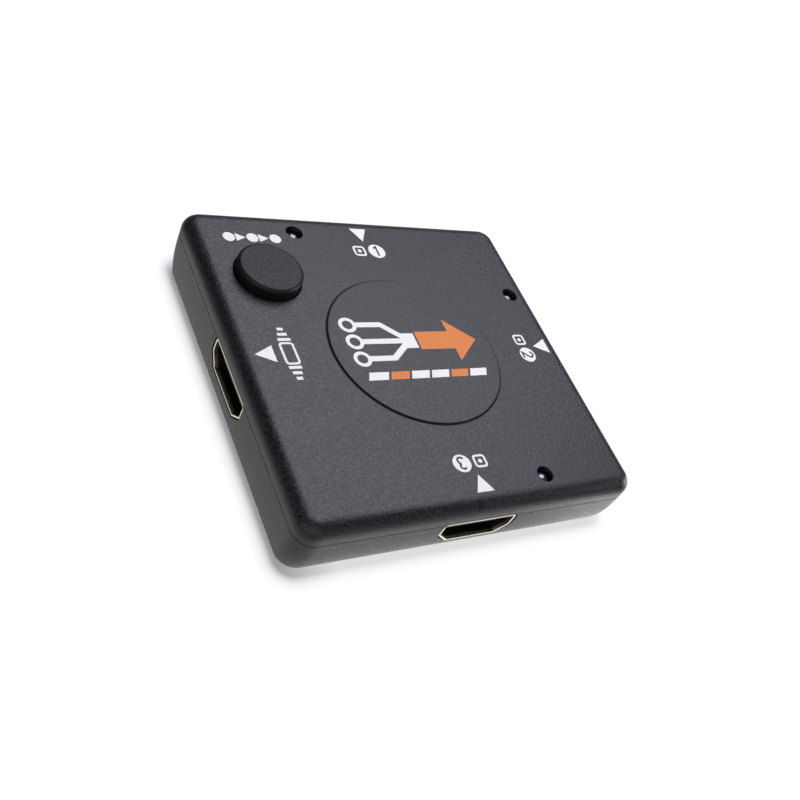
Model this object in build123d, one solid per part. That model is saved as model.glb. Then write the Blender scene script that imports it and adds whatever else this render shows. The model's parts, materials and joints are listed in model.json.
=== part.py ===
from build123d import *
import os

# A square HDMI switch box: three inputs, one output, one select button.
# Lengths are millimetres. Z is up, the origin lies under the middle of the box on the
# surface that it stands on. Input 3 opens towards -Y, input 2 towards +X, input 1
# towards +Y and the output towards -X.

# Case
case_width = 68.0
case_depth = 68.0
corner_radius = 3.5
top_edge_radius = 2.7
bottom_edge_radius = 0.9
wall = 1.6
top_thickness = 1.6
floor_thickness = 1.5
parting_drop = 4.0
parting_groove = 0.15
side_undercut = 0.3
front_undercut = 1.4
undercut_power = 3
hull_level_shares = (0, 0.25, 0.5, 0.75, 1)
lip_height = 0.8
lip_thickness = 0.7
lip_gap = 0.1
cut_overrun = 1.0

# Circuit board
board_thickness = 1.2
board_standoff = 0.55
board_edge_gap = 1.2
board_corner_radius = 2.0
lead_hole_gap = 0.15
lead_stickout = 0.35

# Sockets
opening_width = 14.2
opening_height = 4.55
opening_side_height = 2.6
opening_base_width = 9.9
opening_corner_radius = 0.35
socket_sheet = 0.35
socket_depth = 11.5
socket_setback = 0.15
socket_edge_round = 0.1
socket_cutout_gap = 0.2
socket_headroom = 0.1
socket_seam = 0.12
spring_width = 1.3
spring_length = 4.5
spring_slit = 0.2
spring_spacing = 6.4
spring_setback = 2.5
leg_width = 1.2
front_leg_setback = 4.4
rear_leg_setback = 9.6
insulator_gap = 0.03
insulator_block_depth = 3.5
tongue_width = 11.4
tongue_thickness = 1.9
tongue_setback = 1.3
tongue_nose = 0.3

# Socket contacts
contact_pitch = 1.0
upper_contact_count = 10
lower_contact_count = 9
contact_width = 0.45
contact_tail_width = 0.25
contact_thickness = 0.2
contact_nose_gap = 0.6
contact_foot = 0.9

# Select button
button_from_left = 11.2
button_from_back = 16.3
button_radius = 5.9
button_rise = 2.3
button_edge_radius = 0.75
button_skin = 1.1
button_flange_radius = 7.1
button_flange_thickness = 0.8
button_flange_gap = 0.05
button_hole_gap = 0.2
button_post_radius = 1.6
button_travel = 0.3
button_well_gap = 0.2
button_well_wall = 1.0
button_well_depth = 2.2
hole_edge_round = 0.1

# Key switch under the button
key_size = 6.0
key_base_height = 3.3
key_cover_thickness = 0.25
key_total_height = 5.0
key_stem_radius = 1.7
key_stem_gap = 0.15
key_flange_radius = 2.2
key_flange_thickness = 0.45
key_cavity_radius = 2.45
key_cavity_depth = 1.4
key_play = 0.03
key_nib_radius = 0.55
key_corner = 0.5
key_ear_width = 1.2
key_ear_drop = 1.6
dome_radius = 2.1
dome_height = 0.5
dome_sheet = 0.1
key_leg_width = 0.7
key_leg_thickness = 0.3
key_leg_spacing = 4.5
key_leg_rise = 1.0

# Lamps
lamp_offset = 13.9
lamp_from_edge = 5.0
lamp_hole_radius = 1.6
lamp_radius = 1.5
lamp_flange_radius = 1.9
lamp_flange_height = 1.0
lamp_height = 5.3
lamp_recess = 0.7
lamp_lead = 0.45
lamp_lead_spacing = 1.27

# Centre disc
disc_radius = 16.8
disc_thickness = 1.0
disc_rise = 0.3
disc_gap = 0.1
disc_edge = 0.08

# Case screws
screw_inset = 5.6
screw_radius = 1.0
screw_core_radius = 0.75
screw_length = 6.0
screw_pitch = 0.75
screw_tip = 0.9
screw_head_radius = 1.9
screw_head_height = 1.0
screw_head_round = 0.35
screw_slot_width = 0.5
screw_slot_depth = 0.55
screw_hole_gap = 0.15
thread_gap = 0.03
counterbore_gap = 0.25
counterbore_depth = 1.15
screw_boss_radius = 2.4
floor_boss_radius = 2.9

# Chips on the board
chip_lead_thickness = 0.15
chip_lead_reach = 0.95
chip_foot = 0.55
chip_standoff = 0.1
chip_edge = 0.12
main_chip_size = 10.0
main_chip_height = 1.1
main_chip_pitch = 0.5
main_chip_lead_width = 0.22
main_chip_leads_per_side = 16
small_chip_length = 4.9
small_chip_width = 3.9
small_chip_height = 1.45
small_chip_pitch = 1.27
small_chip_lead_width = 0.42
small_chip_leads_per_side = 4
control_chip_length = 8.65
control_chip_leads_per_side = 7
regulator_length = 6.5
regulator_width = 3.5
regulator_height = 1.6
regulator_pitch = 2.3
regulator_lead_width = 0.7
regulator_tab_width = 3.0

# Small parts on the board
small_part_length = 1.6
small_part_width = 0.8
capacitor_height = 0.8
resistor_height = 0.45
end_cap_length = 0.35
capacitor_pitch = 2.6
capacitors_per_side = 3
resistor_pitch = 1.9
resistors_per_side = 4
can_radius = 2.0
can_height = 5.2
can_round = 0.35
can_neck = 0.2
can_groove_height = 0.9
can_base_size = 4.3
can_base_height = 0.7
can_spacing = 5.6
diode_length = 2.7
diode_width = 1.6
diode_height = 1.1
diode_lead_length = 0.55
diode_lead_width = 0.6
diode_count = 3
diode_pitch = 3.2
quadrant_share = 0.5
capacitor_row_share = 0.15
chip_row_share = 0.52
resistor_row_share = 0.92

# Heights that follow from the stack of floor, board, socket and lid
board_bottom = floor_thickness + board_standoff
board_top = board_bottom + board_thickness
socket_width = opening_width + 2 * socket_sheet
socket_height = opening_height + 2 * socket_sheet
parting_height = board_top + socket_height + socket_headroom
case_height = parting_height + parting_drop
ceiling = case_height - top_thickness

# Places that follow from the case
button_place = (button_from_left - case_width / 2, case_depth / 2 - button_from_back)
screw_places = [
    (side_x * (case_width / 2 - screw_inset), side_y * (case_depth / 2 - screw_inset))
    for side_x in (-1, 1)
    for side_y in (-1, 1)
]
quadrant_x = quadrant_share * case_width / 2
quadrant_y = quadrant_share * case_depth / 2

# Each socket's quarter turn from the front, which faces -Y
socket_turns = {"in_3": 0, "in_2": 90, "in_1": 180, "output": 270}
lamp_turns = {name: turn for name, turn in socket_turns.items() if name != "output"}


def side_reach(turn):
    """Distance from the middle of the case to the wall that a turn faces."""
    return case_depth / 2 if turn % 180 == 0 else case_width / 2


def at_side(turn, shape, across=0, inset=0, height=0):
    """Moves a shape made facing -Y to the wall that a turn faces."""
    return Rot(Z=turn) * Pos(across, inset - side_reach(turn), height) * shape


def slab(width, depth, height, bottom=0, radius=0):
    """A plate with upright edges, centred on Z, standing on the given height."""
    outline = RectangleRounded(width, depth, radius) if radius else Rectangle(width, depth)
    return Pos(0, 0, bottom) * extrude(outline, height)


def rod(radius, height, bottom=0):
    """An upright cylinder standing on the given height."""
    return Pos(0, 0, bottom) * extrude(Circle(radius), height)


def hull_section(share, margin):
    """Outline of the lower case at a share of its height, drawn in by a margin."""
    drawn_in = (1 - share) ** undercut_power
    width = case_width - 2 * (side_undercut * drawn_in + margin)
    depth = case_depth - 2 * (front_undercut * drawn_in + margin)
    outline = RectangleRounded(width, depth, corner_radius - margin)
    return Pos(0, 0, share * parting_height) * outline


def hull(shares, margin):
    """Lower case body lofted through its outlines."""
    return loft([hull_section(share, margin) for share in shares])


def socket_outline(extra=0):
    """D-shaped socket opening, wide side up, grown by an extra margin."""
    half, base = opening_width / 2, opening_base_width / 2
    shoulder = socket_sheet + opening_height - opening_side_height
    top = socket_sheet + opening_height
    corners = [
        (-base, socket_sheet), (base, socket_sheet), (half, shoulder),
        (half, top), (-half, top), (-half, shoulder),
    ]
    opening = make_face(Polyline(corners, close=True))
    opening = fillet(opening.vertices(), opening_corner_radius)
    return offset(opening, extra) if extra else opening


def socket_prism(outline, start, length):
    """A socket outline drawn from a depth behind the mouth, facing -Y."""
    return Pos(0, start, 0) * extrude(Plane.XZ * outline, -length)


def socket_legs(grown=0):
    """Four solder legs under the straight sides of a socket."""
    legs = []
    reach_down = board_thickness + lead_stickout + grown
    rise = socket_sheet + opening_height - opening_side_height / 2
    for side in (-1, 1):
        for setback in (front_leg_setback, rear_leg_setback):
            leg = Box(socket_sheet + 2 * grown, leg_width + 2 * grown, reach_down + rise)
            across = side * (socket_width - socket_sheet) / 2
            legs.append(Pos(across, setback, (rise - reach_down) / 2) * leg)
    return legs


def socket_shell():
    """Folded sheet shell with a seam underneath, two springs on top and solder legs."""
    ring = socket_outline(socket_sheet) - socket_outline()
    shell = socket_prism(ring, 0, socket_depth)
    mouth = shell.faces().sort_by(Axis.Y)[0]
    shell = fillet(mouth.edges(), socket_edge_round)
    shell -= Pos(0, socket_depth / 2, 0) * Box(socket_seam, 2 * socket_depth, 2 * socket_sheet + socket_seam)
    window = Box(spring_width + 2 * spring_slit, spring_length + spring_slit, 2 * socket_sheet)
    spring = Box(spring_width, spring_length, 2 * socket_sheet)
    slit = window - Pos(0, spring_slit / 2, 0) * spring
    for side in (-1, 1):
        place = (side * spring_spacing / 2, spring_setback + spring_length / 2, socket_height)
        shell -= Pos(*place) * slit
    for leg in socket_legs():
        shell += leg
    return shell


def contact(level, going_down):
    """One contact: a strip along the tongue, a drop behind the block and a foot."""
    start = tongue_setback + contact_nose_gap
    strip_length = socket_depth - start
    strip = Box(contact_width, strip_length, contact_thickness)
    strip = Pos(0, start + strip_length / 2, level) * strip
    tail_top = level + contact_thickness / 2
    drop = Box(contact_tail_width, contact_thickness, tail_top)
    drop = Pos(0, socket_depth + contact_thickness / 2, tail_top / 2) * drop
    foot = Box(contact_tail_width, contact_foot, contact_thickness)
    foot = Pos(0, socket_depth + contact_foot / 2, contact_thickness / 2) * foot
    return Pos(going_down, 0, 0) * (strip + drop + foot)


def socket_contacts():
    """Two rows of contacts, above and below the tongue."""
    middle = socket_sheet + opening_height / 2
    rows = ((upper_contact_count, 1), (lower_contact_count, -1))
    contacts = []
    for count, side in rows:
        level = middle + side * tongue_thickness / 2
        for index in range(count):
            contacts.append(contact(level, (index - (count - 1) / 2) * contact_pitch))
    return contacts


def socket_insulator(contacts):
    """Rear block and tongue with a groove for every contact."""
    block_start = socket_depth - insulator_block_depth
    block = socket_prism(socket_outline(-insulator_gap), block_start, insulator_block_depth)
    tongue_length = block_start - tongue_setback
    tongue = Box(tongue_width, tongue_length, tongue_thickness)
    tongue = chamfer(tongue.faces().sort_by(Axis.Y)[0].edges(), tongue_nose)
    middle = socket_sheet + opening_height / 2
    insulator = block + Pos(0, tongue_setback + tongue_length / 2, middle) * tongue
    for piece in contacts:
        insulator -= piece
    return insulator


def upper_shell():
    """Lid: rounded top, lip, button well, lamp holes, disc recess and screw bosses."""
    shell = slab(case_width, case_depth, case_height - parting_height, parting_height, corner_radius)
    shell = fillet(shell.edges().group_by(Axis.Z)[-1], top_edge_radius)
    band = slab(case_width + cut_overrun, case_depth + cut_overrun, parting_groove, parting_height)
    band -= slab(
        case_width - 2 * parting_groove, case_depth - 2 * parting_groove, 2 * parting_groove,
        parting_height - parting_groove / 2, corner_radius - parting_groove,
    )
    shell -= band
    hollow = slab(
        case_width - 2 * wall, case_depth - 2 * wall, ceiling - parting_height,
        parting_height, corner_radius - wall,
    )
    hollow = fillet(hollow.edges().group_by(Axis.Z)[-1], top_edge_radius - wall)
    shell -= hollow
    lip_width = case_width - 2 * (wall - lip_thickness)
    lip_depth = case_depth - 2 * (wall - lip_thickness)
    lip = slab(
        lip_width, lip_depth, lip_height, parting_height - lip_height,
        corner_radius - wall + lip_thickness,
    )
    lip -= slab(
        case_width - 2 * wall, case_depth - 2 * wall, 2 * lip_height,
        parting_height - 3 * lip_height / 2, corner_radius - wall,
    )
    gap_width = socket_width + 2 * socket_cutout_gap
    gap = Box(gap_width, 2 * wall + cut_overrun, 2 * lip_height + cut_overrun)
    for turn in socket_turns.values():
        lip -= at_side(turn, gap, 0, wall, parting_height - lip_height - cut_overrun / 2)
    shell += lip
    well_outer = button_flange_radius + button_well_gap + button_well_wall
    well = rod(well_outer, button_well_depth, ceiling - button_well_depth)
    well -= rod(button_flange_radius + button_well_gap, button_well_depth, ceiling - button_well_depth)
    shell += Pos(*button_place) * well
    for place in screw_places:
        shell += Pos(*place) * rod(screw_boss_radius, ceiling - board_top, board_top)
    pilot_top = counterbore_depth + screw_length + cut_overrun / 2
    for place in screw_places:
        shell -= Pos(*place) * rod(screw_radius + thread_gap, pilot_top - board_top, board_top)
    shell -= Pos(0, 0, case_height + disc_rise - disc_thickness) * rod(disc_radius + disc_gap, disc_thickness)
    button_hole = rod(button_radius + button_hole_gap, 2 * top_thickness, ceiling - top_thickness / 2)
    shell -= Pos(*button_place) * button_hole
    lamp_hole = rod(lamp_hole_radius, 2 * top_thickness, ceiling - top_thickness / 2)
    for turn in lamp_turns.values():
        shell -= at_side(turn, lamp_hole, lamp_offset, lamp_from_edge)
    rims = [edge for edge in shell.edges().filter_by(GeomType.CIRCLE) if on_top_rim(edge)]
    return fillet(rims, hole_edge_round)


def on_top_rim(edge):
    """Whether an edge is the mouth of the button hole or of a lamp hole."""
    at_top = abs(edge.center().Z - case_height) < hole_edge_round / 2
    small = edge.radius < disc_radius / 2
    return at_top and small


def lower_shell():
    """Tray: hull, rebate for the lip, socket cut-outs and counterbored screw bosses."""
    shell = hull(hull_level_shares, 0)
    shell = fillet(shell.edges().group_by(Axis.Z)[0], bottom_edge_radius)
    floor_share = floor_thickness / parting_height
    inner_shares = [floor_share + (1 - floor_share) * share for share in hull_level_shares]
    shell -= hull(inner_shares, wall)
    rebate_margin = wall - lip_thickness - lip_gap
    shell -= slab(
        case_width - 2 * rebate_margin, case_depth - 2 * rebate_margin, lip_height + lip_gap,
        parting_height - lip_height - lip_gap, corner_radius - rebate_margin,
    )
    cutout_outline = socket_outline(socket_sheet + socket_cutout_gap)
    cutout = socket_prism(cutout_outline, -cut_overrun, 2 * wall + 2 * cut_overrun)
    for turn in socket_turns.values():
        shell -= at_side(turn, cutout, 0, 0, board_top)
    for place in screw_places:
        shell += Pos(*place) * rod(floor_boss_radius, board_bottom)
    for place in screw_places:
        head_radius = screw_head_radius + counterbore_gap
        shell -= Pos(*place) * rod(head_radius, counterbore_depth)
        shell -= Pos(*place) * rod(screw_radius + screw_hole_gap, board_bottom)
    return shell


def centre_disc():
    """Round plate set into the lid, standing a little proud."""
    plate = rod(disc_radius, disc_thickness, case_height + disc_rise - disc_thickness)
    return chamfer(plate.edges().group_by(Axis.Z)[-1], disc_edge)


def select_button():
    """Round cap with a flange under the lid and a post over the key switch."""
    top = case_height + button_rise
    flange_bottom = ceiling - button_flange_gap - button_flange_thickness
    cap = rod(button_radius, top - flange_bottom, flange_bottom)
    cap = fillet(cap.edges().group_by(Axis.Z)[-1], button_edge_radius)
    cap += rod(button_flange_radius, button_flange_thickness, flange_bottom)
    cap -= rod(button_radius - button_skin, top - button_skin - flange_bottom, flange_bottom)
    post_bottom = board_top + key_total_height + key_play
    cap += rod(button_post_radius, top - button_skin / 2 - post_bottom, post_bottom)
    return Pos(*button_place) * cap


def key_base():
    """Moulded base of the key switch with a round pocket."""
    base = slab(key_size, key_size, key_base_height, board_top)
    base = chamfer(base.edges().filter_by(Axis.Z), key_corner)
    base -= rod(key_cavity_radius, key_cavity_depth, board_top + key_base_height - key_cavity_depth)
    return Pos(*button_place) * base


def key_cover():
    """Sheet cover of the key switch with two ears down its sides."""
    bottom = board_top + key_base_height
    cover = slab(key_size, key_size, key_cover_thickness, bottom)
    cover = chamfer(cover.edges().filter_by(Axis.Z), key_corner)
    for side in (-1, 1):
        ear = slab(key_ear_width, key_cover_thickness, key_ear_drop + key_cover_thickness, bottom - key_ear_drop)
        cover += Pos(0, side * (key_size + key_cover_thickness) / 2, 0) * ear
    cover -= rod(key_stem_radius + key_stem_gap, 2 * key_cover_thickness, bottom - key_cover_thickness / 2)
    return Pos(*button_place) * cover


def key_plunger():
    """Stem with a flange under the cover and a nib over the dome."""
    cover_bottom = board_top + key_base_height
    flange_bottom = cover_bottom - key_play - key_flange_thickness
    stem = rod(key_stem_radius, board_top + key_total_height - flange_bottom, flange_bottom)
    stem += rod(key_flange_radius, key_flange_thickness, flange_bottom)
    dome_top = cover_bottom - key_cavity_depth + dome_height
    nib_bottom = dome_top + key_play
    stem += rod(key_nib_radius, flange_bottom + key_play - nib_bottom, nib_bottom)
    return Pos(*button_place) * stem


def key_dome():
    """Snap dome: a thin spherical cap on the floor of the pocket."""
    ball = (dome_radius**2 + dome_height**2) / (2 * dome_height)
    pocket_floor = board_top + key_base_height - key_cavity_depth
    centre = pocket_floor + dome_height - ball
    shell = Sphere(ball) - Sphere(ball - dome_sheet)
    cap = Pos(0, 0, centre) * shell & rod(dome_radius, dome_height, pocket_floor)
    return Pos(*button_place) * cap


def key_legs(grown=0):
    """Four solder legs beside the key switch base."""
    legs = []
    height = key_leg_rise + board_thickness + lead_stickout + grown
    for side_x in (-1, 1):
        for side_y in (-1, 1):
            leg = slab(key_leg_thickness + 2 * grown, key_leg_width + 2 * grown, height, board_top + key_leg_rise - height)
            across = side_x * (key_size + key_leg_thickness) / 2
            legs.append(Pos(*button_place) * Pos(across, side_y * key_leg_spacing / 2, 0) * leg)
    return legs


def lamp():
    """Round-topped lamp with a flange, on its own axis."""
    top = case_height - lamp_recess
    bottom = top - lamp_height
    body = rod(lamp_radius, lamp_height - lamp_radius, bottom)
    body += Pos(0, 0, top - lamp_radius) * Sphere(lamp_radius)
    return body + rod(lamp_flange_radius, lamp_flange_height, bottom)


def lamp_leads(grown=0):
    """Two square leads under a lamp."""
    top = case_height - lamp_recess - lamp_height
    bottom = board_bottom - lead_stickout - grown
    size = lamp_lead + 2 * grown
    return [Pos(side * lamp_lead_spacing, 0, 0) * slab(size, size, top - bottom, bottom) for side in (-1, 1)]


def circuit_board():
    """Board with holes for screws, socket legs, key legs and lamp leads."""
    margin = wall + board_edge_gap
    board = slab(
        case_width - 2 * margin, case_depth - 2 * margin, board_thickness, board_bottom, board_corner_radius,
    )
    for place in screw_places:
        board -= Pos(*place) * rod(screw_radius + screw_hole_gap, board_thickness, board_bottom)
    for turn in socket_turns.values():
        for leg in socket_legs(lead_hole_gap):
            board -= at_side(turn, leg, 0, socket_setback, board_top)
    for leg in key_legs(lead_hole_gap):
        board -= leg
    for turn in lamp_turns.values():
        for lead in lamp_leads(lead_hole_gap):
            board -= at_side(turn, lead, lamp_offset, lamp_from_edge)
    return board


def chip_body(length, width, height):
    """Moulded chip body, a little above the board."""
    body = slab(length, width, height - chip_standoff, board_top + chip_standoff)
    return chamfer(body.edges().group_by(Axis.Z)[-1], chip_edge)


def gull_lead(width, chip_half, height):
    """One bent lead that leaves a chip body towards -Y and stands on the board."""
    level = board_top + height / 2
    bend = chip_lead_reach - chip_foot
    shoulder = Pos(0, -chip_half - bend / 2, level) * Box(width, bend, chip_lead_thickness)
    drop_height = level + chip_lead_thickness / 2 - board_top
    drop = Box(width, chip_lead_thickness, drop_height)
    drop = Pos(0, -chip_half - bend + chip_lead_thickness / 2, board_top + drop_height / 2) * drop
    foot = Box(width, chip_foot + chip_lead_thickness, chip_lead_thickness)
    foot_middle = -chip_half - chip_lead_reach + (chip_foot + chip_lead_thickness) / 2
    return shoulder + drop + Pos(0, foot_middle, board_top + chip_lead_thickness / 2) * foot


def lead_rows(width, chip_half, height, pitch, count, turns):
    """Rows of leads on the sides of a chip that the turns give."""
    lead = gull_lead(width, chip_half, height)
    return [
        Rot(Z=turn) * Pos((index - (count - 1) / 2) * pitch, 0, 0) * lead
        for turn in turns
        for index in range(count)
    ]


def main_chip_leads():
    """Leads on all four sides of the switch chip."""
    return lead_rows(
        main_chip_lead_width, main_chip_size / 2, main_chip_height, main_chip_pitch,
        main_chip_leads_per_side, (0, 90, 180, 270),
    )


def small_chip_leads(count):
    """Leads on the two long sides of a small chip."""
    return lead_rows(
        small_chip_lead_width, small_chip_width / 2, small_chip_height, small_chip_pitch, count, (0, 180),
    )


def regulator_leads():
    """Three leads on one side of the regulator and its wide tab on the other."""
    half = regulator_width / 2
    leads = lead_rows(regulator_lead_width, half, regulator_height, regulator_pitch, 3, (0,))
    return leads + lead_rows(regulator_tab_width, half, regulator_height, regulator_pitch, 1, (180,))


def in_row(turn, share, shape, across=0):
    """Places a shape at a share of the way from the switch chip to a socket's contact feet."""
    start = main_chip_size / 2 + chip_lead_reach
    end = side_reach(turn) - socket_setback - socket_depth - contact_foot
    return Rot(Z=turn) * Pos(across, -start - share * (end - start), 0) * shape


def small_part(height, places):
    """Chip parts of one kind: bodies and, apart from them, their end caps."""
    body = slab(small_part_length - 2 * end_cap_length, small_part_width, height, board_top)
    cap = slab(end_cap_length, small_part_width, height, board_top)
    caps = [Pos(side * (small_part_length - end_cap_length) / 2, 0, 0) * cap for side in (-1, 1)]
    bodies = [place * body for place in places]
    ends = [place * end for place in places for end in caps]
    return bodies, ends


def capacitor_places():
    """Places around the switch chip."""
    return [
        in_row(turn, capacitor_row_share, Pos(), (index - (capacitors_per_side - 1) / 2) * capacitor_pitch)
        for turn in (0, 90, 180, 270)
        for index in range(capacitors_per_side)
    ]


def resistor_places():
    """Places in a row behind each socket's contact feet."""
    return [
        in_row(turn, resistor_row_share, Pos(), (index - (resistors_per_side - 1) / 2) * resistor_pitch)
        for turn in socket_turns.values()
        for index in range(resistors_per_side)
    ]


def can_places():
    """Places of the two electrolytic capacitors."""
    return [Pos(-quadrant_x, -quadrant_y - step * can_spacing, 0) for step in (0, 1)]


def can():
    """Aluminium can with a crimped groove."""
    bottom = board_top + can_base_height
    body = fillet(rod(can_radius, can_height, bottom).edges().group_by(Axis.Z)[-1], can_round)
    groove = Pos(0, 0, bottom + can_groove_height) * Torus(can_radius + can_neck / 2, can_neck)
    return body - groove


def can_base():
    """Moulded base of a can."""
    base = slab(can_base_size, can_base_size, can_base_height, board_top)
    return chamfer(base.edges().filter_by(Axis.Z).sort_by(Axis.X)[-2:], can_round)


def diode_places():
    """Places of the power diodes."""
    return [Pos(quadrant_x, -quadrant_y + (index - 1) * diode_pitch, 0) for index in range(diode_count)]


def diode_body():
    """Moulded diode body."""
    return chamfer(
        slab(diode_length, diode_width, diode_height, board_top).edges().group_by(Axis.Z)[-1], chip_edge,
    )


def diode_leads():
    """Flat leads at both ends of a diode."""
    lead = slab(diode_lead_length, diode_lead_width, chip_lead_thickness, board_top)
    return [Pos(side * (diode_length + diode_lead_length) / 2, 0, 0) * lead for side in (-1, 1)]


def case_screw():
    """Self-tapping screw, head down, with its thread as a row of ridges."""
    seat = counterbore_depth
    ridge_count = int((screw_length - screw_tip) / screw_pitch)
    outline = [(0, seat), (screw_core_radius, seat)]
    for index in range(ridge_count):
        start = seat + index * screw_pitch
        outline.append((screw_core_radius, start + screw_pitch / 4))
        outline.append((screw_radius, start + screw_pitch / 2))
        outline.append((screw_core_radius, start + 3 * screw_pitch / 4))
    outline.append((screw_core_radius, seat + screw_length - screw_tip))
    outline.append((0, seat + screw_length))
    shank = revolve(Plane.XZ * make_face(Polyline(outline, close=True)), Axis.Z)
    head = rod(screw_head_radius, screw_head_height, seat - screw_head_height)
    head = fillet(head.edges().group_by(Axis.Z)[0], screw_head_round)
    screw = shank + head
    for turn in (0, 90):
        slot = Box(screw_head_radius, screw_slot_width, 2 * screw_slot_depth)
        screw -= Rot(Z=turn) * Pos(0, 0, seat - screw_head_height) * slot
    return screw


def group(shapes):
    """Several separate solids as one shape."""
    return Compound(children=[piece for shape in shapes for piece in shape.solids()])


def build():
    """Every sub-part by its name."""
    nodes = {
        "upper_shell": upper_shell(),
        "lower_shell": lower_shell(),
        "centre_disc": centre_disc(),
        "select_button": select_button(),
        "key_base": key_base(),
        "key_cover": key_cover(),
        "key_plunger": key_plunger(),
        "key_dome": key_dome(),
        "key_legs": group(key_legs()),
        "circuit_board": circuit_board(),
        "case_screws": group([Pos(*place) * case_screw() for place in screw_places]),
    }
    shell = socket_shell()
    contacts = socket_contacts()
    insulator = socket_insulator(contacts)
    for name, turn in socket_turns.items():
        place = (0, socket_setback, board_top)
        nodes[f"socket_{name}_shell"] = at_side(turn, shell, *place)
        nodes[f"socket_{name}_insulator"] = at_side(turn, insulator, *place)
        nodes[f"socket_{name}_contacts"] = group([at_side(turn, piece, *place) for piece in contacts])
    for name, turn in lamp_turns.items():
        nodes[f"lamp_{name}"] = at_side(turn, lamp(), lamp_offset, lamp_from_edge)
    nodes["lamp_leads"] = group(
        [at_side(turn, lead, lamp_offset, lamp_from_edge) for turn in lamp_turns.values() for lead in lamp_leads()]
    )
    nodes["switch_chip"] = chip_body(main_chip_size, main_chip_size, main_chip_height)
    nodes["switch_chip_leads"] = group(main_chip_leads())
    memory = chip_body(small_chip_length, small_chip_width, small_chip_height)
    memory_leads = small_chip_leads(small_chip_leads_per_side)
    nodes["memory_chips"] = group([in_row(turn, chip_row_share, memory) for turn in lamp_turns.values()])
    nodes["memory_chip_leads"] = group(
        [in_row(turn, chip_row_share, lead) for turn in lamp_turns.values() for lead in memory_leads]
    )
    control = chip_body(control_chip_length, small_chip_width, small_chip_height)
    control_leads = small_chip_leads(control_chip_leads_per_side)
    output_turn = socket_turns["output"]
    nodes["control_chip"] = in_row(output_turn, chip_row_share, control)
    nodes["control_chip_leads"] = group([in_row(output_turn, chip_row_share, lead) for lead in control_leads])
    regulator_place = Pos(quadrant_x, quadrant_y, 0)
    nodes["voltage_regulator"] = regulator_place * chip_body(regulator_length, regulator_width, regulator_height)
    nodes["regulator_leads"] = group([regulator_place * lead for lead in regulator_leads()])
    bodies, ends = small_part(capacitor_height, capacitor_places())
    nodes["ceramic_capacitors"] = group(bodies)
    resistor_bodies, resistor_ends = small_part(resistor_height, resistor_places())
    nodes["resistors"] = group(resistor_bodies)
    nodes["small_part_ends"] = group(ends + resistor_ends)
    nodes["capacitor_cans"] = group([place * can() for place in can_places()])
    nodes["capacitor_can_bases"] = group([place * can_base() for place in can_places()])
    nodes["power_diodes"] = group([place * diode_body() for place in diode_places()])
    nodes["diode_leads"] = group([place * lead for place in diode_places() for lead in diode_leads()])
    return nodes


os.makedirs("parts", exist_ok=True)
for node_name, node_shape in build().items():
    export_step(node_shape, f"parts/{node_name}.step")
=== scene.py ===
import json
import math

import bpy
import numpy as np
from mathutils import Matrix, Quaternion, Vector


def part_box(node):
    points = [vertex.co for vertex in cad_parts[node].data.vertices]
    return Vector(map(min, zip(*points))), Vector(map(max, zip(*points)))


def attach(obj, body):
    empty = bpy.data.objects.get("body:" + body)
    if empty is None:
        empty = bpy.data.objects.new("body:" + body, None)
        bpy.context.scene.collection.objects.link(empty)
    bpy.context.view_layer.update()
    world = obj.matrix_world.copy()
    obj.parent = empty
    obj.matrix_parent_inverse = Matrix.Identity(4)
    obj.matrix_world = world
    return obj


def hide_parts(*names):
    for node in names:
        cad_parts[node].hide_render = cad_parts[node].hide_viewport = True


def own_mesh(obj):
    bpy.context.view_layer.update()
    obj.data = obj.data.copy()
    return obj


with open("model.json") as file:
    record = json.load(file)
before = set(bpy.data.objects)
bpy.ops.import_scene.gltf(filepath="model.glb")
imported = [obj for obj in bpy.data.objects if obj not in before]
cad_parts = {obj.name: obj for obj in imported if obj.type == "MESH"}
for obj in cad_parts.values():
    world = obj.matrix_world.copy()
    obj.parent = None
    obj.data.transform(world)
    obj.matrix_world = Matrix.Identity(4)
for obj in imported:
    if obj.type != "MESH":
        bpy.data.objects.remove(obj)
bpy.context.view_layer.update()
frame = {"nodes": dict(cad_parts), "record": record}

# Lengths are metres, and most are written in millimetres times this.
mm = 0.001

# Camera: the photographed view, from above the corner between the output and input 3
camera_place = Vector((-92.76, -91.64, 122.36)) * mm
camera_aim = Vector((2.84, -19.94, 12.6)) * mm
camera_roll = math.radians(36.43)
camera_lens, camera_sensor = 42.35, 36
camera_shift = (-0.092, 0.0466)
camera_clip = (0.005, 20)

# Lamps: a large soft key above the far corner, and a small fill low on the right
lamp_aim = Vector((0, 0, 0))
key_place = Vector((132, 188, 400)) * mm
key_size = 430 * mm
key_colour = (0.97, 0.98, 1.12)
key_power = 2.0
fill_place = Vector((380, -90, 50)) * mm
fill_size = 120 * mm
fill_power = 0.5

# The sky is bright low on the camera's side and dark elsewhere: (nearness to sky_side, level)
sky_side = (-0.6, -0.8, -0.15)
sky_levels = [(0.28, 0.05), (0.56, 0.85)]

# Floor: a round sheet, flat for this share of its radius and curved up beyond it
floor_radius = 3.0
floor_flat_share, floor_rise = 0.6, 0.35
floor_steps, floor_rings = 48, 12
floor_colour = (0.85, 0.84, 0.88)
paper_shade, paper_clouds = 0.99, 6 * mm
# Light that lifts the floor to white: its level, and its share of what is seen
floor_glow = 1.06
floor_whiten = 0.93
# In reflections the floor is white only near the case: (distance from the middle, level)
floor_near = [(55 * mm, 0.95), (90 * mm, 0.15)]
# Painted light and shade in what the walls mirror of it: by side, the floor is painted darker on the left,
# where shade falls, and brighter on the right, as a painted reflection of light from there: (distance to that
# side, nearness to it)
reflected_front, reflected_left, reflected_right = 1.2, 0.78, 2.9
left_side = [(24 * mm, 0.0), (34 * mm, 1.0)]
right_side = [(14 * mm, 0.0), (48 * mm, 1.0)]
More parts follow.
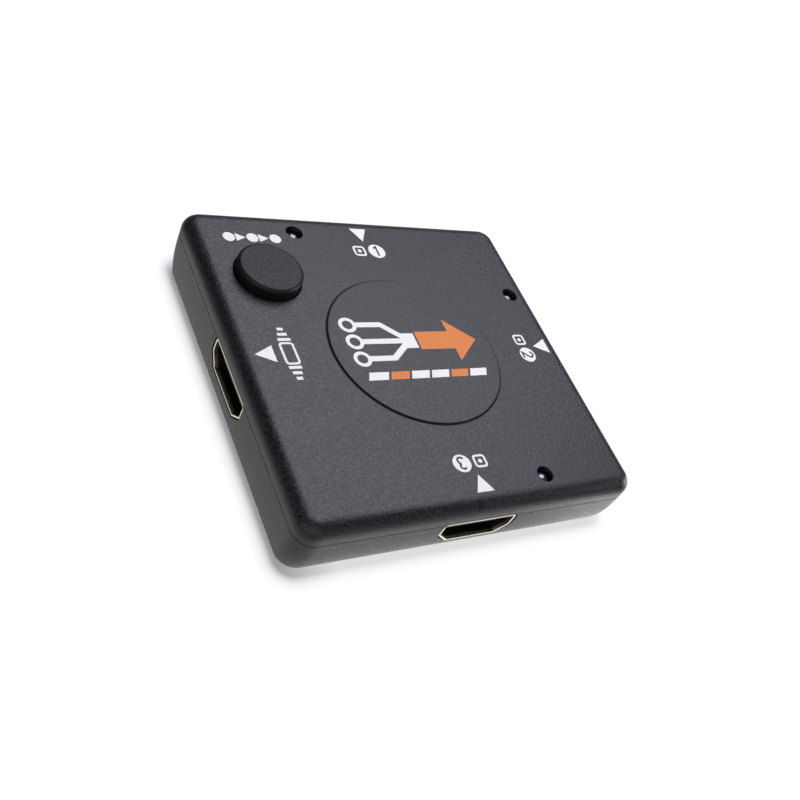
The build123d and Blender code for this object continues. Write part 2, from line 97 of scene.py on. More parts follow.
# Painted contact shadow: close to the case the floor's white lift is held back in the case's outline, so the
# diffuse floor shows darker there together with its real shadow: (distance beyond the ends of the straight
# sides, share kept)
case_straight = 30.5 * mm
painted_contact_shadow = [(3.5 * mm, 0.82), (4.3 * mm, 0.42), (5.0 * mm, 0.18), (5.8 * mm, 0.07), (6.8 * mm, 0.0)]
# In front the painted shadow has this share of its depth on the left.
front_shade_share = 0.42

# Printed marks on the lid, drawn as if the side that they belong to were at the top
ink_height = 0.03 * mm
numeral_ink_height = ink_height / 3
# Printed shapes are drawn in by this at the top.
ink_edge = 0.004 * mm
arrow_tip, arrow_base = 27.4 * mm, 30.85 * mm
output_tip, output_base = 30.95 * mm, 27.5 * mm
arrow_half_width = 1.8 * mm
numeral_place = (2.05 * mm, 24.9 * mm)
numeral_disc_radius = 1.78 * mm
numeral_height = 2.5 * mm
numeral_stroke = 0.40 * mm
mark_stroke = 0.42 * mm
mark_corner = 0.5 * mm
source_place = (-1.75 * mm, 24.8 * mm)
source_size = (2.2 * mm, 2.2 * mm)
source_dot_radius = 0.42 * mm
screen_place = (0, 24.8 * mm)
screen_size = (4.4 * mm, 2.3 * mm)
# Bars beside the screen: (distance from its middle, height)
level_bars = ((3.0 * mm, 2.3 * mm), (4.15 * mm, 1.7 * mm), (5.3 * mm, 1.1 * mm))
level_stroke = 0.6 * mm
step_place = (-22.75 * mm, 27.0 * mm)
step_pitch = 4.4 * mm
step_dot_radius = 1.1 * mm
step_arrow_size = 0.95 * mm
# Turn of each side's marks about the middle of the lid, in degrees
input_turns = {1: 0, 2: -90, 3: 180}
output_turn = 90

# Print on the centre plate: three routes that join into one arrow, over a row of dashes
route_start, route_bend, route_join, route_end = -10.6 * mm, -5.4 * mm, -2.2 * mm, 0.6 * mm
route_rise = 3.9 * mm
route_level = 1.9 * mm
route_stroke = 1.15 * mm
terminal_radius, terminal_stroke = 1.35 * mm, 0.7 * mm
# Strokes that lap over each other differ in height by this.
lap_step = 0.002 * mm
# Arrow: (start, end, half width) of its shaft and of its head
arrow_shaft = (1.0 * mm, 8.4 * mm, 2.1 * mm)
arrow_head = (8.4 * mm, 14.0 * mm, 5.0 * mm)
dash_level = -5.9 * mm
dash_height, dash_slant = 1.7 * mm, 0.7 * mm
dash_edges = np.array([-12.6, -8.2, -4.0, 0.2, 4.4, 8.6, 12.8]) * mm
dash_gap = 0.5 * mm

# Dull ring round the centre plate: its middle and half its width
plate_gap = (16.9 * mm, 0.27 * mm)

# Socket shells are darkened by painted shade further in, where they are also duller, and keep their own
# bright plate at the mouth, by shares of this distance from the middle.
shell_reach = 33.85 * mm
shell_painted_shade_share, shell_bright_share = 0.978, 0.990

# Reflector cup in a lamp: a stem that widens into a hollow cup
cup_radius, cup_height = 0.62 * mm, 0.7 * mm
cup_stem_radius, cup_hollow_radius, cup_lip_radius = cup_radius * 0.6, cup_radius * 0.55, cup_radius * 0.86
cup_flare, cup_hollow_depth = cup_height * 0.5, cup_height * 0.4
cup_below_top = 2.3 * mm
cup_above_foot = 0.2 * mm

# Snap dome of the key switch: its sheet, and its steps round and rings under and over
dome_sheet = 0.1 * mm
dome_steps, dome_under_rings, dome_over_rings = 48, 14, 16


# Materials

class Value:
    """A shader value. Sums, products and the like add their Math nodes."""

    def __init__(self, finish, socket):
        self.finish, self.socket = finish, socket

    def _math(self, operation, *values):
        return self.finish.node("ShaderNodeMath", {"operation": operation}, dict(enumerate(values)))

    def __add__(self, other):
        return self._math("ADD", self, other)

    def __sub__(self, other):
        return self._math("SUBTRACT", self, other)

    def __rsub__(self, other):
        return self._math("SUBTRACT", other, self)

    def __mul__(self, other):
        return self._math("MULTIPLY", self, other)

    def __truediv__(self, other):
        return self._math("DIVIDE", self, other)

    def absolute(self):
        """The value without its sign."""
        return self._math("ABSOLUTE", self)

    def larger(self, other):
        """The larger of two values."""
        return self._math("MAXIMUM", self, other)

    def smaller(self, other):
        """The smaller of two values."""
        return self._math("MINIMUM", self, other)

    __radd__, __rmul__ = __add__, __mul__


class Finish:
    """A material under construction, or the sky if a world is given."""

    def __init__(self, name, world=None):
        self.material = world or bpy.data.materials.new(name)
        self.material.use_nodes = True
        self.tree = self.material.node_tree
        self.tree.nodes.clear()

    def node(self, kind, settings=None, sockets=None, out=0):
        """Adds a node: first its settings, then the values or links of its sockets."""
        made = self.tree.nodes.new(kind)
        for name, value in (settings or {}).items():
            if name == "stops":
                self.set_stops(made.color_ramp, value)
            else:
                setattr(made, name, value)
        for name, value in (sockets or {}).items():
            if isinstance(value, Value):
                self.tree.links.new(value.socket, made.inputs[name])
            else:
                made.inputs[name].default_value = value
        return Value(self, made.outputs[out])

    def set_stops(self, ramp, stops):
        """Gives a colour ramp its stops: (position, grey level) pairs."""
        while len(ramp.elements) < len(stops):
            ramp.elements.new(1)
        for element, (position, level) in zip(ramp.elements, stops):
            element.position = position
            element.color = (level, level, level, 1)

    def vector_maths(self, operation, *values, out=0):
        """Maths on places and directions."""
        return self.node("ShaderNodeVectorMath", {"operation": operation}, dict(enumerate(values)), out)

    def place(self):
        """Where on the object a point is, in metres."""
        return self.node("ShaderNodeTexCoord", out="Object")

    def along(self, axis):
        """How far a point is from the middle of the case along an axis."""
        return self.node("ShaderNodeSeparateXYZ", None, {0: self.place()}, axis)

    def outward(self):
        """How far a point is from the middle of the case, towards its nearest side."""
        return self.along("X").absolute().larger(self.along("Y").absolute())

    def from_axis(self):
        """How far a point is from the upright axis through the middle of the case."""
        flat = self.vector_maths("MULTIPLY", self.place(), (1, 1, 0))
        return self.vector_maths("LENGTH", flat, out="Value")

    def beyond_straight(self):
        """How far a point on the floor is beyond the ends of the case's straight sides.

        Lines of equal distance are squares with round corners, as the case's outline is.
        """
        size = self.vector_maths("ABSOLUTE", self.place())
        past = self.vector_maths("SUBTRACT", size, (case_straight, case_straight, 0))
        return self.vector_maths("LENGTH", self.vector_maths("MAXIMUM", past, (0, 0, 0)), out="Value")

    def ray(self, kind):
        """1 for one kind of ray, and 0 for the others."""
        return self.node("ShaderNodeLightPath", out=f"Is {kind} Ray")

    def seen_directly(self):
        """1 where the camera, a reflection or a clear material looks, and 0 for soft light."""
        return (self.ray("Camera") + self.ray("Glossy") + self.ray("Transmission")).smaller(1.0)

    def noise(self, grain, detail=2, rough=0.5, stretch=(1, 1, 1)):
        """Noise whose lumps are about one grain across."""
        scaled = self.node("ShaderNodeMapping", None, {"Vector": self.place(), "Scale": stretch})
        sockets = {"Vector": scaled, "Scale": 1 / grain, "Detail": detail, "Roughness": rough}
        return self.node("ShaderNodeTexNoise", None, sockets)

    def ramp(self, value, stops):
        """A value spread between stops."""
        return self.node("ShaderNodeValToRGB", {"stops": stops}, {"Fac": value})

    def spread(self, length, stops):
        """A length spread between stops that are given as (length, level) pairs.

        A ramp runs from 0 to 1, and the last stop lies halfway along it.
        """
        reach = 2 * stops[-1][0]
        return self.ramp(length / reach, [(stop / reach, level) for stop, level in stops])

    def blend(self, share, first, second):
        """Two colours mixed by a share."""
        return self.node("ShaderNodeMix", {"data_type": "RGBA"}, {0: share, 6: first, 7: second}, out=2)

    def bump(self, height, depth):
        """A normal from a height between 0 and 1 that is this deep, in metres."""
        return self.node("ShaderNodeBump", None, {"Height": height, "Distance": depth, "Strength": 1.0})

    def surface(self, **sockets):
        """Ends the material with a surface shader. Names are the shader's, with _ for a space."""
        named = {name.replace("_", " "): value for name, value in sockets.items()}
        return self.end(self.node("ShaderNodeBsdfPrincipled", None, named))

    def end(self, shader, kind="ShaderNodeOutputMaterial"):
        """Joins a shader to the output."""
        output = self.tree.nodes.new(kind)
        self.tree.links.new(shader.socket, output.inputs["Surface"])
        return self.material


def rgb(red, green, blue):
    """A colour with full alpha."""
    return (red, green, blue, 1.0)


def moulded(name, dark, light, rough, grain, depth, ring=None, shine=0.5):
    """Moulded plastic: spark-eroded grain and faint flow clouds.

    A ring of (radius, half width) about the upright axis is duller than the rest. The grain and the clouds
    add 0.12 to the roughness on average, which is taken off again.
    """
    finish = Finish(name)
    dull = 0.0
    if ring:
        radius, half_width = ring
        off_ring = (finish.from_axis() - radius).absolute()
        dull = finish.ramp(off_ring / half_width, [(0.5, 1), (1, 0)])
    fine = finish.ramp(finish.noise(grain, detail=2, rough=0.6), [(0.36, 0), (0.64, 1)])
    clouds = finish.noise(9 * mm, detail=3)
    return finish.surface(
        Base_Color=finish.blend(fine * 0.8 + clouds * 0.2, dark, light),
        Roughness=fine * 0.2 + clouds * 0.05 + dull * 0.5 + (rough - 0.12),
        Specular_IOR_Level=shine,
        Normal=finish.bump(fine, depth),
    )


def case_plastic():
    """Grained charcoal plastic of the lid and the tray."""
    return moulded(
        "case_plastic", rgb(0.001, 0.001, 0.0015), rgb(0.016, 0.016, 0.020),
        rough=0.40, grain=0.32 * mm, depth=0.021 * mm, ring=plate_gap)


def disc_plastic():
    """The centre plate, a touch lighter than the lid, with a dull worn rim."""
    return moulded(
        "disc_plastic", rgb(0.001, 0.001, 0.0015), rgb(0.017, 0.017, 0.021),
        rough=0.40, grain=0.32 * mm, depth=0.021 * mm, ring=plate_gap)


def button_plastic():
    """The button, smoother than the lid."""
    return moulded(
        "button_plastic", rgb(0.001, 0.001, 0.0015), rgb(0.003, 0.003, 0.004),
        rough=0.47, grain=0.26 * mm, depth=0.012 * mm, shine=0.34)


def black_plastic():
    """Black moulded plastic of the parts inside."""
    return moulded(
        "black_plastic", rgb(0.008, 0.008, 0.008), rgb(0.022, 0.022, 0.021),
        rough=0.45, grain=0.15 * mm, depth=0.006 * mm)


def stem_plastic():
    """Dark slippery plastic of the key switch's stem."""
    return moulded(
        "stem_plastic", rgb(0.012, 0.012, 0.012), rgb(0.028, 0.028, 0.028),
        rough=0.35, grain=0.2 * mm, depth=0.004 * mm)


def chip_plastic():
    """Moulding compound of the chips."""
    return moulded(
        "chip_plastic", rgb(0.012, 0.012, 0.012), rgb(0.030, 0.030, 0.031),
        rough=0.62, grain=0.12 * mm, depth=0.006 * mm)


def ceramic():
    """Tan fired ceramic of the capacitors."""
    return moulded(
        "ceramic", rgb(0.22, 0.14, 0.07), rgb(0.36, 0.25, 0.14),
        rough=0.5, grain=0.1 * mm, depth=0.003 * mm)


def resistor_ceramic():
    """Black glaze of the resistors."""
    return moulded(
        "resistor_ceramic", rgb(0.006, 0.006, 0.007), rgb(0.020, 0.020, 0.022),
        rough=0.25, grain=0.2 * mm, depth=0.002 * mm)


def insulator_plastic():
    """Black glass-filled plastic of the socket tongues, with short pale fibres."""
    finish = Finish("insulator_plastic")
    fibres = finish.ramp(finish.noise(0.12 * mm, detail=1, stretch=(1, 0.25, 1)), [(0.62, 0), (0.72, 1)])
    return finish.surface(
        Base_Color=finish.blend(fibres * 0.5, rgb(0.005, 0.005, 0.005), rgb(0.030, 0.028, 0.025)),
        Roughness=0.5 - fibres * 0.1,
        Normal=finish.bump(fibres, 0.004 * mm),
    )


def plated(name, dark, light, rough, grain, depth, stretch=(1, 1, 1)):
    """Plated sheet metal: rolling marks along one way, and clouds of slightly duller plate.

    The clouds add 0.1 to the roughness on average, which is taken off again.
    """
    finish = Finish(name)
    rolling = finish.noise(grain, detail=3, rough=0.6, stretch=stretch)
    clouds = finish.noise(2.2 * mm, detail=3)
    return finish.surface(
        Base_Color=finish.blend(rolling * 0.4 + clouds * 0.6, dark, light),
        Metallic=1.0,
        Roughness=clouds * 0.2 + (rough - 0.1),
        Normal=finish.bump(rolling, depth),
    )


def bright_steel():
    """Plated steel of springs, covers and leads."""
    return plated(
        "bright_steel", rgb(0.52, 0.52, 0.51), rgb(0.78, 0.78, 0.76),
        rough=0.28, grain=0.4 * mm, depth=0.003 * mm, stretch=(1, 5, 1))


def screw_steel():
    """Blackened steel of the case screws."""
    return plated(
        "screw_steel", rgb(0.05, 0.05, 0.055), rgb(0.14, 0.14, 0.15),
        rough=0.38, grain=0.2 * mm, depth=0.006 * mm)


def tin_plate():
    """Dull tin on chip leads and end caps."""
    return plated(
        "tin_plate", rgb(0.50, 0.50, 0.50), rgb(0.74, 0.74, 0.73),
        rough=0.42, grain=0.15 * mm, depth=0.004 * mm)


def contact_gold():
    """Gold flash on the socket contacts."""
    return plated(
        "contact_gold", rgb(0.70, 0.46, 0.16), rgb(0.95, 0.72, 0.32),
        rough=0.25, grain=0.3 * mm, depth=0.002 * mm, stretch=(1, 1, 4))


def can_aluminium():
    """Drawn aluminium of the capacitor cans."""
    return plated(
        "can_aluminium", rgb(0.66, 0.66, 0.67), rgb(0.88, 0.88, 0.88),
        rough=0.28, grain=0.3 * mm, depth=0.004 * mm, stretch=(1, 1, 0.1))


def socket_metal():
    """Warm nickel plate of the socket shells: bright at the mouth, and darkened by painted shade and duller
    further in.
    """
    finish = Finish("socket_metal")
    rolling = finish.noise(0.5 * mm, detail=3, rough=0.6, stretch=(1, 1, 6))
    clouds = finish.noise(2.2 * mm, detail=3)
    # painted shade inside the shell: 1 deep in, where the plate's colour is taken to near black
    inside = finish.ramp(finish.outward() / shell_reach, [(shell_painted_shade_share, 1), (shell_bright_share, 0)])
    bright = finish.blend(rolling * 0.4 + clouds * 0.6, rgb(0.70, 0.63, 0.50), rgb(0.95, 0.89, 0.74))
    return finish.surface(
        Base_Color=finish.blend(inside, bright, rgb(0.035, 0.032, 0.026)),
        Metallic=1.0,
        Roughness=clouds * 0.2 + inside * 0.25 + 0.15,
        Normal=finish.bump(rolling, 0.004 * mm),
    )


def board_laminate():
    """Green solder mask over tracks that show as raised lines, on woven laminate."""
    finish = Finish("board_laminate")
    track_stops = [(0.47, 0), (0.49, 1), (0.53, 1), (0.55, 0)]
    tracks = finish.ramp(finish.noise(1.6 * mm, detail=1, stretch=(1, 0.35, 1)), track_stops)
    weave = finish.noise(0.4 * mm)
    return finish.surface(
        Base_Color=finish.blend(tracks * 0.7, rgb(0.008, 0.060, 0.026), rgb(0.020, 0.130, 0.055)),
        Roughness=weave * 0.15 + 0.22,
        Coat_Weight=0.4,
        Normal=finish.bump(tracks * 0.8 + weave * 0.2, 0.02 * mm),
    )


def clear_lamp():
    """Smoky, slightly milky lamp resin with faint flow lines."""
    finish = Finish("clear_lamp")
    flow = finish.noise(0.8 * mm)
    return finish.surface(
        Base_Color=finish.blend(flow, rgb(0.07, 0.07, 0.075), rgb(0.12, 0.12, 0.13)),
        Roughness=flow * 0.06 + 0.12,
        Coat_Weight=1.0,
        Coat_IOR=1.8,
        Transmission_Weight=0.55,
        IOR=1.75,
        Normal=finish.bump(flow, 0.004 * mm),
    )


def ink(name, thin, full):
    """Pad-printed ink: thin spots where the grain below shows, and a slightly rough film."""
    finish = Finish(name)
    film = finish.noise(0.22 * mm, detail=3, rough=0.6)
    cover = finish.ramp(film, [(0.24, 0), (0.36, 1)])
    return finish.surface(
        Base_Color=finish.blend(cover, thin, full),
        Roughness=film * 0.2 + 0.42,
        Normal=finish.bump(film, 0.012 * mm),
    )


def white_print():
    """White ink."""
    return ink("white_print", rgb(0.62, 0.62, 0.60), rgb(0.97, 0.96, 0.92))


def orange_print():
    """Orange ink."""
    return ink("orange_print", rgb(0.42, 0.13, 0.03), rgb(0.80, 0.22, 0.02))


def floor_white():
    """White floor: lifted to white for the camera and in reflections, with a painted contact shadow that
    holds the lift back by the case over its real shadow, and painted light and shade by side in what the
    walls mirror.
    """
    finish = Finish("floor_white")
    shaded = rgb(*[level * paper_shade for level in floor_colour])
    paper = finish.blend(finish.noise(paper_clouds) * 0.5, rgb(*floor_colour), shaded)
    base = finish.node("ShaderNodeBsdfDiffuse", None, {"Color": paper})
    camera = finish.ray("Camera")
    # Painted light and shade in reflections: the mirrored floor is darker on the left and brighter on the
    # right
    across = finish.along("X")
    left, right = finish.spread(0 - across, left_side), finish.spread(across, right_side)
    from_left, to_right = reflected_front - reflected_left, reflected_right - reflected_front
    reflected = reflected_front - left * from_left + right * to_right
    white = camera + (1 - camera) * reflected * finish.spread(finish.from_axis(), floor_near)
    glow = finish.node("ShaderNodeEmission", None, {"Color": white, "Strength": floor_glow})
    # Painted contact shadow, deeper on the left than in front: it holds back the white lift near the case,
    # for the camera
    depth = left * (1 - front_shade_share) + front_shade_share
    painted_shade = camera * depth * finish.spread(finish.beyond_straight(), painted_contact_shadow)
    lift = (1 - painted_shade) * floor_whiten
    mixed = {0: finish.seen_directly() * lift, 1: base, 2: glow}
    return finish.end(finish.node("ShaderNodeMixShader", None, mixed))


# Shapes

def added(name, data):
    """A new object in the scene."""
    made = bpy.data.objects.new(name, data)
    bpy.context.scene.collection.objects.link(made)
    return made


def mesh_object(name, points, faces, material):
    """Numpy points and faces as an object with a material."""
    mesh = bpy.data.meshes.new(name)
    mesh.from_pydata(points.tolist(), [], faces)
    mesh.materials.append(material)
    mesh.validate()
    return added(name, mesh)


def piece(name, points, faces, material, slot):
    """A mesh that rides on the case."""
    made = mesh_object(name, points, faces, material)
    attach(made, "case")
    return made


def grid_faces(rows, columns, wrap_rows=False):
    """Quads of a grid of points that closes on itself along its columns, and along its rows if asked."""
    row = np.arange(rows if wrap_rows else rows - 1)[:, None]
    column = np.arange(columns)[None, :]
    next_row, next_column = (row + 1) % rows, (column + 1) % columns
    corners = [
        row * columns + column, row * columns + next_column,
        next_row * columns + next_column, next_row * columns + column]
    shape = (len(row), columns)
    return np.stack([np.broadcast_to(corner, shape) for corner in corners], -1).reshape(-1, 4).tolist()


def plate(outline, bottom, top):
    """A flat plate: its outline is carried up from the underside and drawn in by the ink's edge at the top.

    Point (level, k) is outline point k scaled about the middle by 1 or by 1 less the edge's share.
    """
    middle = outline.mean(0)
    reach = np.linalg.norm(outline - middle, axis=1).max()
    scales = np.array([1, 1, 1 - ink_edge / reach])
    heights = np.array([bottom, top - ink_edge, top])
    flat = middle + (outline - middle)[None] * scales[:, None, None]
    levels = np.broadcast_to(heights[:, None, None], flat.shape[:2] + (1,))
    points = np.concatenate([flat, levels], -1).reshape(-1, 3)
    count = len(outline)
    faces = grid_faces(3, count)
    faces.append(list(range(count))[::-1])
    faces.append(list(range(2 * count, 3 * count)))
    return points, faces


def ribbon(path, width, bottom, top, closed=False):
    """A flat strip: a rectangle carried along a path.

    Each path point is pushed left and right along its mitre, the mean of its two sides' normals
    lengthened by one over the cosine of half the turn.
    """
    ahead = np.roll(path, -1, 0) - path
    if not closed:
        ahead[-1] = ahead[-2]
    ahead /= np.linalg.norm(ahead, axis=1)[:, None]
    behind = np.roll(ahead, 1, 0)
    if not closed:
        behind[0] = ahead[0]
    quarter_turn = np.array([[0, 1], [-1, 0]])
    normals = (ahead + behind) @ quarter_turn
    normals /= np.linalg.norm(normals, axis=1)[:, None]
    side = ahead @ quarter_turn
    mitre = normals / np.sum(normals * side, axis=1)[:, None] * width / 2
    left, right = path + mitre, path - mitre
    section = [(left, bottom), (right, bottom), (right, top), (left, top)]
    rings = [np.column_stack([edge, np.full(len(edge), height)]) for edge, height in section]
    points = np.stack(rings, 1).reshape(-1, 3)
    faces = grid_faces(len(path), 4, closed)
    if not closed:
        last = 4 * (len(path) - 1)
        faces += [[3, 2, 1, 0], [last, last + 1, last + 2, last + 3]]
    return points, [face[::-1] for face in faces]


def revolved(centre, profile, steps=32):
    """A profile of (radius, height) points turned about an upright axis; its ends lie on the axis."""
    angle = np.linspace(0, 2 * np.pi, steps, endpoint=False)
    radius, height = profile[1:-1, 0], profile[1:-1, 1]
    rings = np.stack([
        centre[0] + radius[:, None] * np.cos(angle), centre[1] + radius[:, None] * np.sin(angle),
        np.broadcast_to(height[:, None], (len(radius), steps))], -1).reshape(-1, 3)
    poles = np.array([(centre[0], centre[1], profile[0, 1]), (centre[0], centre[1], profile[-1, 1])])
    points = np.concatenate([rings, poles])
    faces = grid_faces(len(radius), steps)
    last_ring, first_pole, last_pole = (len(radius) - 1) * steps, len(rings), len(rings) + 1
    for k in range(steps):
        after = (k + 1) % steps
        faces.append([after, k, first_pole])
        faces.append([last_ring + k, last_ring + after, last_pole])
    return points, faces


def joined(parts):
    """Several shapes as one: their points in a row, and their faces numbered to match."""
    points, faces, start = [], [], 0
    for part_points, part_faces in parts:
        points.append(part_points)
        faces += [[corner + start for corner in face] for face in part_faces]
        start += len(part_points)
    return np.concatenate(points), faces


def turned(shape, degrees):
    """A shape turned about the middle of the lid."""
    points, faces = shape
    angle = math.radians(degrees)
    cosine, sine = math.cos(angle), math.sin(angle)
    turn = np.array([[cosine, sine, 0], [-sine, cosine, 0], [0, 0, 1]])
    return points @ turn, faces


def arc(centre, radius, start, end, steps):
    """Points along an arc between two angles in degrees."""
    angle = np.radians(np.linspace(start, end, steps))
    return np.column_stack([centre[0] + radius * np.cos(angle), centre[1] + radius * np.sin(angle)])


def circle(centre, radius, steps=64):
    """Points round a circle."""
    return arc(centre, radius, 0, 360 * (1 - 1 / steps), steps)


def rounded_box(centre, width, height):
    """Points round a rectangle with a mark's round corners."""
    x, y = width / 2 - mark_corner, height / 2 - mark_corner
    corners = [(x, y, 0), (-x, y, 90), (-x, -y, 180), (x, -y, 270)]
    return np.concatenate([
        arc((centre[0] + across, centre[1] + along), mark_corner, start, start + 90, steps=8)
        for across, along, start in corners])


# Printed marks

def numeral_lines(number):
    """The strokes of a numeral one unit high about its middle, as paths of corners and arcs."""
    if number == 1:
        return [np.array([(-0.20, 0.28), (0.04, 0.46), (0.04, -0.5)])]
    if number == 2:
        hook = arc((0, 0.22), 0.25, 165, -38, 20)
        return [np.concatenate([hook, [(-0.26, -0.44), (0.29, -0.44)]])]
    upper = arc((-0.01, 0.235), 0.22, 150, -75, 18)
    lower = arc((0, -0.22), 0.26, 75, -150, 20)
    return [upper, lower]


def numeral(number, bottom, top):
    """A numeral drawn with an even stroke."""
    paths = [line * numeral_height + numeral_place for line in numeral_lines(number)]
    return joined([ribbon(path, numeral_stroke, bottom, top) for path in paths])


def lid_arrow(tip, base, bottom, top):
    """A triangle from its tip to its base, in or out along the marks' middle line."""
    half = math.copysign(arrow_half_width, base - tip)
    return plate(np.array([(0, tip), (half, base), (-half, base)]), bottom, top)


def source_mark(bottom, top):
    """A small box with a dot in it."""
    box = ribbon(rounded_box(source_place, *source_size), mark_stroke, bottom, top, closed=True)
    dot = plate(circle(source_place, source_dot_radius, steps=32), bottom, top)
    return joined([box, dot])


def screen_mark(bottom, top):
    """A screen's outline with level bars on each side."""
    shapes = [ribbon(rounded_box(screen_place, *screen_size), mark_stroke, bottom, top, closed=True)]
    for side in (-1, 1):
        for across, height in level_bars:
            ends = [(side * across, screen_place[1] + share * height) for share in (-0.5, 0.5)]
            shapes.append(ribbon(np.array(ends), level_stroke, bottom, top))
    return joined(shapes)


def lid_marks(lid_top, white, dark):
    """Arrows, numerals and small signs round the lid."""
    top = lid_top + ink_height
    for number, turn in input_turns.items():
        arrow = lid_arrow(arrow_tip, arrow_base, lid_top, top)
        disc = plate(circle(numeral_place, numeral_disc_radius), lid_top, top)
        white_marks = joined([arrow, disc, source_mark(lid_top, top)])
        piece(f"mark_in_{number}", *turned(white_marks, turn), white, slot="white_print")
        figure = numeral(number, top, top + numeral_ink_height)
        piece(f"mark_numeral_{number}", *turned(figure, turn), dark, slot="case_plastic")
    arrow = lid_arrow(output_tip, output_base, lid_top, top)
    white_marks = joined([arrow, screen_mark(lid_top, top)])
    piece("mark_output", *turned(white_marks, output_turn), white, slot="white_print")


def step_mark(lid_top, white):
    """Three dots with arrows between them beside the button: it steps through the inputs."""
    top = lid_top + ink_height
    middle, level = step_place
    size = step_arrow_size
    shapes = []
    for step in (-1, 0, 1):
        centre = (middle + step * step_pitch, level)
        shapes.append(plate(circle(centre, step_dot_radius, steps=40), lid_top, top))
    for step in (-0.5, 0.5):
        x = middle + step * step_pitch
        outline = np.array([(x + size, level), (x - size, level + size), (x - size, level - size)])
        shapes.append(plate(outline, lid_top, top))
    piece("mark_select", *joined(shapes), white, slot="white_print")


def route_shapes(bottom, top):
    """Three ring terminals whose lines come together side by side."""
    shapes = []
    for side in (-1, 0, 1):
        level, merged = route_level + side * route_rise, route_level + side * route_stroke
        ring = circle((route_start - terminal_radius, level), terminal_radius, steps=48)
        shapes.append(ribbon(ring, terminal_stroke, bottom, top + lap_step * 3, closed=True))
        route = [(route_start, level), (route_bend, level), (route_join, merged), (route_end, merged)]
        shapes.append(ribbon(np.array(route), route_stroke, bottom, top + lap_step * side))
    return shapes


def arrow_outline():
    """The wide arrow that the routes run into."""
    shaft_start, shaft_end, shaft_half = arrow_shaft
    head_start, head_tip, head_half = arrow_head
    return np.array([
        (shaft_start, -shaft_half), (shaft_end, -shaft_half), (head_start, -head_half), (head_tip, 0),
        (head_start, head_half), (shaft_end, shaft_half), (shaft_start, shaft_half)]) + (0, route_level)


def dash_shapes(bottom, top):
    """A row of slanted dashes, of which every third from the second on is orange."""
    low, high = dash_level - dash_height / 2, dash_level + dash_height / 2
    white, orange = [], []
    for index, (start, end) in enumerate(zip(dash_edges[:-1], dash_edges[1:])):
        stop = end - dash_gap
        outline = np.array([(start, low), (stop, low), (stop + dash_slant, high), (start + dash_slant, high)])
        (orange if index % 3 == 1 else white).append(plate(outline, bottom, top))
    return white, orange


def plate_print(plate_top, white, orange):
    """Routing sign on the centre plate."""
    top = plate_top + ink_height
    routes = route_shapes(plate_top, top)
    white_dashes, orange_dashes = dash_shapes(plate_top, top)
    piece("print_arrow", *plate(arrow_outline(), plate_top, top), orange, slot="orange_print")
    piece("print_routes", *joined(routes + white_dashes), white, slot="white_print")
    piece("print_dashes", *joined(orange_dashes), orange, slot="orange_print")


# Lamp and switch innards

def upright_axis(low, high):
    """Where the middle line of a box is."""
    return ((low.x + high.x) / 2, (low.y + high.y) / 2)


def lamp_cup(name, metal):
    """Reflector cup, seen through the lamp's dome."""
    low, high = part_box(name)
    foot, rim = low.z + cup_above_foot, high.z - cup_below_top
    hollow = rim - cup_hollow_depth
    stem = [(0, foot), (cup_stem_radius, foot), (cup_stem_radius, rim - cup_height)]
    cup = [(cup_radius, rim - cup_flare), (cup_radius, rim), (cup_lip_radius, rim)]
    profile = np.array([*stem, *cup, (cup_hollow_radius, hollow), (0, hollow)])
    piece(name + "_cup", *revolved(upright_axis(low, high), profile), metal, slot="bright_steel")


def snap_dome(metal):
    """The key switch's dome: a spherical cap of sheet under the stem.

    A cap of radius a and height h lies on a ball of radius (a^2 + h^2) / 2h. Its underside lies on a ball
    with the same centre, smaller by the sheet, and ends at the level of the rim.
    """
    low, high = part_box("key_dome")
    centre = upright_axis(low, high)
    radius, height = (high.x - low.x) / 2, high.z - low.z
    ball = (radius**2 + height**2) / (2 * height)
    middle, inner_ball = high.z - ball, ball - dome_sheet
    under = np.linspace(0, np.arccos((low.z - middle) / inner_ball), dome_under_rings)
    over = np.linspace(np.arcsin(radius / ball), 0, dome_over_rings)
    profile = np.concatenate([
        np.column_stack([inner_ball * np.sin(under), middle + inner_ball * np.cos(under)]),
        np.column_stack([ball * np.sin(over), middle + ball * np.cos(over)])])
    dome = piece("key_dome_spring", *revolved(centre, profile, dome_steps), metal, slot="bright_steel")
    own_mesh(dome)
    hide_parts("key_dome")


# Scene

def put_finishes():
    """Gives every carried-over node its finish by its material slot."""
    makers = (
        case_plastic, disc_plastic, button_plastic, black_plastic, stem_plastic, insulator_plastic,
        socket_metal, bright_steel, screw_steel, tin_plate, contact_gold, can_aluminium, board_laminate,
        chip_plastic, ceramic, resistor_ceramic, clear_lamp, white_print, orange_print)
    finishes = {maker.__name__: maker() for maker in makers}
    for subpart in frame["record"]["subparts"]:
        node = frame["nodes"][subpart["node"]]
        for holder in node.material_slots:
            holder.material = finishes[subpart["material_slot"]]
    return finishes


def put_at(thing, place, aim, roll=0.0):
    """Puts a camera or a lamp at a place and turns it to an aim, rolled about that line."""
    thing.location, thing.rotation_mode = place, "QUATERNION"
    thing.rotation_quaternion = (aim - place).to_track_quat("-Z", "Y") @ Quaternion((0, 0, 1), roll)


def area_lamp(name, place, size, power, colour=(1, 1, 1)):
    """A square soft lamp."""
    data = bpy.data.lights.new(name, "AREA")
    data.shape, data.size, data.energy, data.color = "SQUARE", size, power, colour
    put_at(added(name, data), place, lamp_aim)


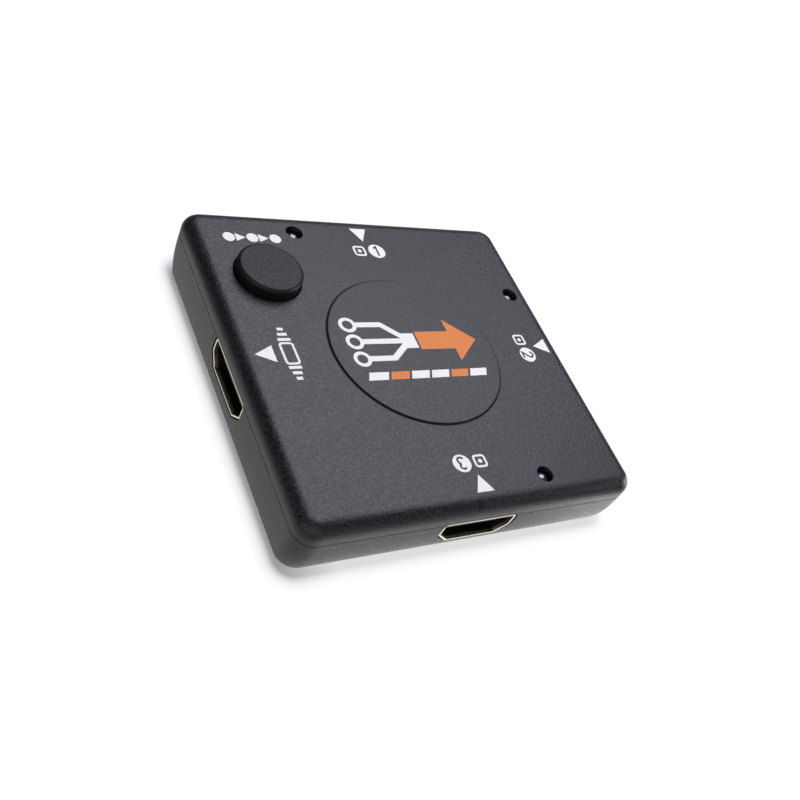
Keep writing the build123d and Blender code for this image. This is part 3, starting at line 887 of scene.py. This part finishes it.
def make_camera():
    """The photograph's camera."""
    data = bpy.data.cameras.new("camera")
    data.sensor_width, data.lens = camera_sensor, camera_lens
    data.shift_x, data.shift_y = camera_shift
    data.clip_start, data.clip_end = camera_clip
    camera = added("camera", data)
    put_at(camera, camera_place, camera_aim, camera_roll)
    bpy.context.scene.camera = camera


def make_floor():
    """A wide sheet for the object to stand on.

    A turned shape is closed at both ends. Of the closing faces every second one belongs to the outer end, and
    is left out with its pole, so that the sheet is open there.
    """
    reach = np.linspace(0, 1, floor_rings)[1:]
    radius = reach * floor_radius
    height = floor_rise * floor_radius * np.clip(reach - floor_flat_share, 0, 1) ** 2
    profile = np.column_stack([np.r_[0, radius, 0], np.r_[0, height, height[-1]]])
    points, faces = revolved((0, 0), profile, floor_steps)
    closing = len(faces) - 2 * floor_steps
    sheet = faces[:closing] + faces[closing::2]
    mesh_object("floor", points[:-1], [face[::-1] for face in sheet], floor_white())


def make_sky():
    """Soft light from low on the camera's side; the camera itself sees white."""
    world = bpy.data.worlds.new("sky")
    bpy.context.scene.world = world
    finish = Finish("sky", world)
    direction = finish.node("ShaderNodeTexCoord", out="Generated")
    level = finish.ramp(finish.vector_maths("DOT_PRODUCT", direction, sky_side, out="Value"), sky_levels)
    seen = finish.ray("Camera")
    light = {"Color": rgb(1, 1, 1), "Strength": seen + (1 - seen) * level}
    finish.end(finish.node("ShaderNodeBackground", None, light), "ShaderNodeOutputWorld")


make_camera()
make_sky()
make_floor()
area_lamp("key", key_place, key_size, key_power, key_colour)
area_lamp("fill", fill_place, fill_size, fill_power)
finishes = put_finishes()
lid_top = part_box("upper_shell")[1].z
plate_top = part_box("centre_disc")[1].z
lid_marks(lid_top, finishes["white_print"], finishes["case_plastic"])
step_mark(lid_top, finishes["white_print"])
plate_print(plate_top, finishes["white_print"], finishes["orange_print"])
for lamp_name in ("lamp_in_1", "lamp_in_2", "lamp_in_3"):
    lamp_cup(lamp_name, finishes["bright_steel"])
snap_dome(finishes["bright_steel"])

bpy.context.scene.view_settings.view_transform = "Standard"
